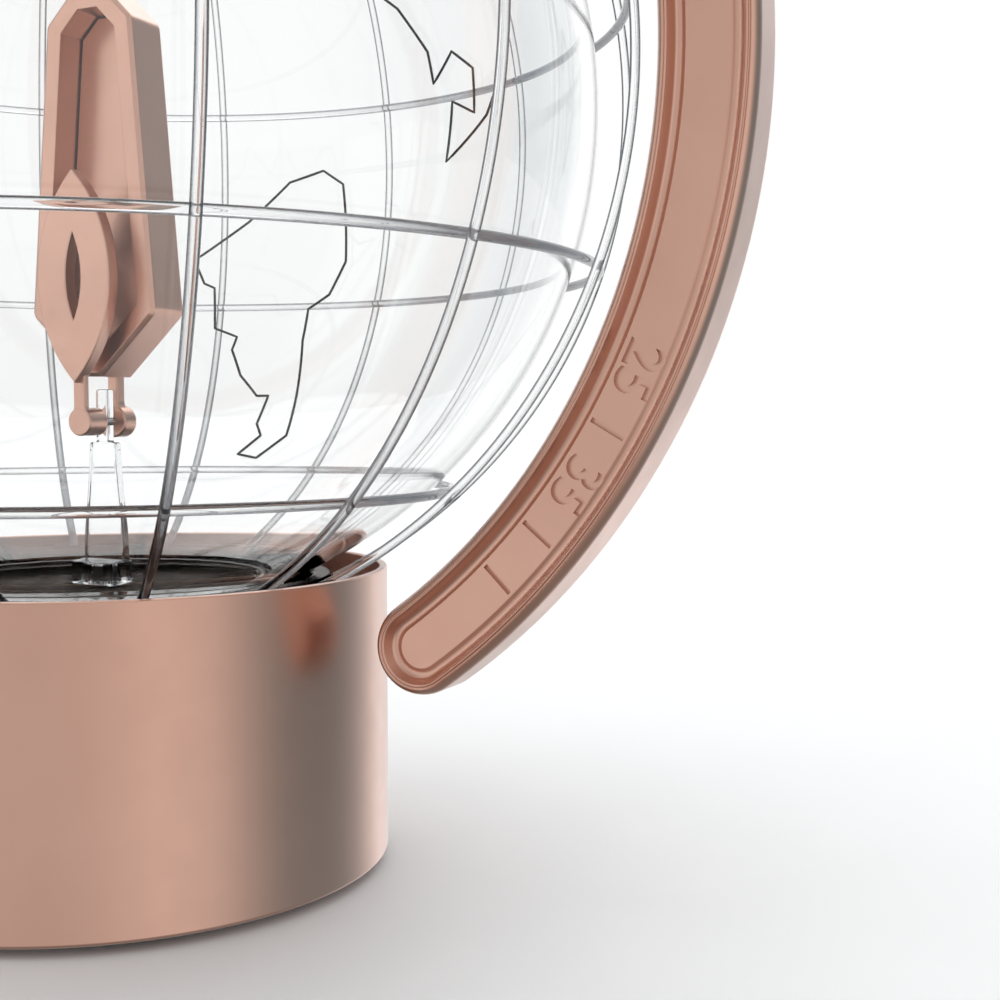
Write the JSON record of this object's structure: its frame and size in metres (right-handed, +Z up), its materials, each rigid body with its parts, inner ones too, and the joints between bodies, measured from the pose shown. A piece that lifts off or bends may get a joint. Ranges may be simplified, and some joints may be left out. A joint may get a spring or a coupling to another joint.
{
  "type": "globe ornament",
  "caption": "Clear globe in a cage of clear rods on a turned base, with a swivelling meridian arm and a small emblem inside.",
  "frame": {"origin": "centre of the underside of the feet, on the surface that the object stands on", "axes": "+Z up along the polar axis, the meridian arm at rest in the XZ plane, the emblem facing -Y"},
  "size_m": [0.2714, 0.2184, 0.3025],
  "materials": {
    "rose_gold": "satin rose-gold anodised",
    "clear_acrylic": "polished clear",
    "dark_gloss": "polished black",
    "black_rubber": "matt",
    "cast_iron": "blacked",
    "bright_steel": "bright",
    "white_nylon": "matt"
  },
  "bodies": {
    "base": {"base_shell": "rose_gold", "base_plate": "cast_iron", "ballast_weight": "cast_iron", "spacer_tube": "bright_steel", "tie_bolt": "bright_steel", "tie_nut": "bright_steel", "plate_screw_1": "bright_steel", "plate_screw_2": "bright_steel", "plate_screw_3": "bright_steel", "plate_screw_4": "bright_steel", "foot_1": "black_rubber", "foot_2": "black_rubber", "foot_3": "black_rubber", "foot_4": "black_rubber", "deck_disc": "dark_gloss", "glide_ring": "white_nylon", "cage_foot_ring": "dark_gloss", "cage_meridian_01": "clear_acrylic", "cage_meridian_02": "clear_acrylic", "cage_meridian_03": "clear_acrylic", "cage_meridian_04": "clear_acrylic", "cage_meridian_05": "clear_acrylic", "cage_meridian_06": "clear_acrylic", "cage_meridian_07": "clear_acrylic", "cage_meridian_08": "clear_acrylic", "cage_meridian_09": "clear_acrylic", "cage_meridian_10": "clear_acrylic", "cage_meridian_11": "clear_acrylic", "cage_meridian_12": "clear_acrylic", "cage_meridian_13": "clear_acrylic", "cage_meridian_14": "clear_acrylic", "cage_parallel_1": "clear_acrylic", "cage_parallel_2": "clear_acrylic", "cage_parallel_3": "clear_acrylic", "cage_parallel_4": "clear_acrylic", "cage_parallel_5": "clear_acrylic", "cage_top_hub": "rose_gold", "pivot_spindle": "bright_steel", "spacer_collar": "rose_gold", "arm_washer": "bright_steel", "finial_nut": "rose_gold", "pedestal": "clear_acrylic"},
    "globe": {"globe_glass": "clear_acrylic", "globe_neck_ring": "clear_acrylic", "globe_top_plug": "clear_acrylic", "globe_pivot_pin": "bright_steel"},
    "arm": {"meridian_arm": "rose_gold", "arm_bush": "white_nylon"},
    "emblem": {"emblem_frame": "rose_gold", "emblem_panel": "rose_gold", "emblem_petal": "rose_gold", "hinge_pin": "bright_steel"}
  },
  "joints": [
    {"name": "arm_swivel", "type": "hinge", "parent": "base", "child": "arm", "pos_m": [0, 0, 0.27], "axis": [0, 0, 1], "continuous": true},
    {"name": "globe_spin", "type": "hinge", "parent": "base", "child": "globe", "pos_m": [0, 0, 0.1499], "axis": [0, 0, 1], "continuous": true},
    {"name": "emblem_tilt", "type": "hinge", "parent": "base", "child": "emblem", "pos_m": [0, 0, 0.0893], "axis": [0, 1, 0], "range_deg": [-10, 10]}
  ]
}
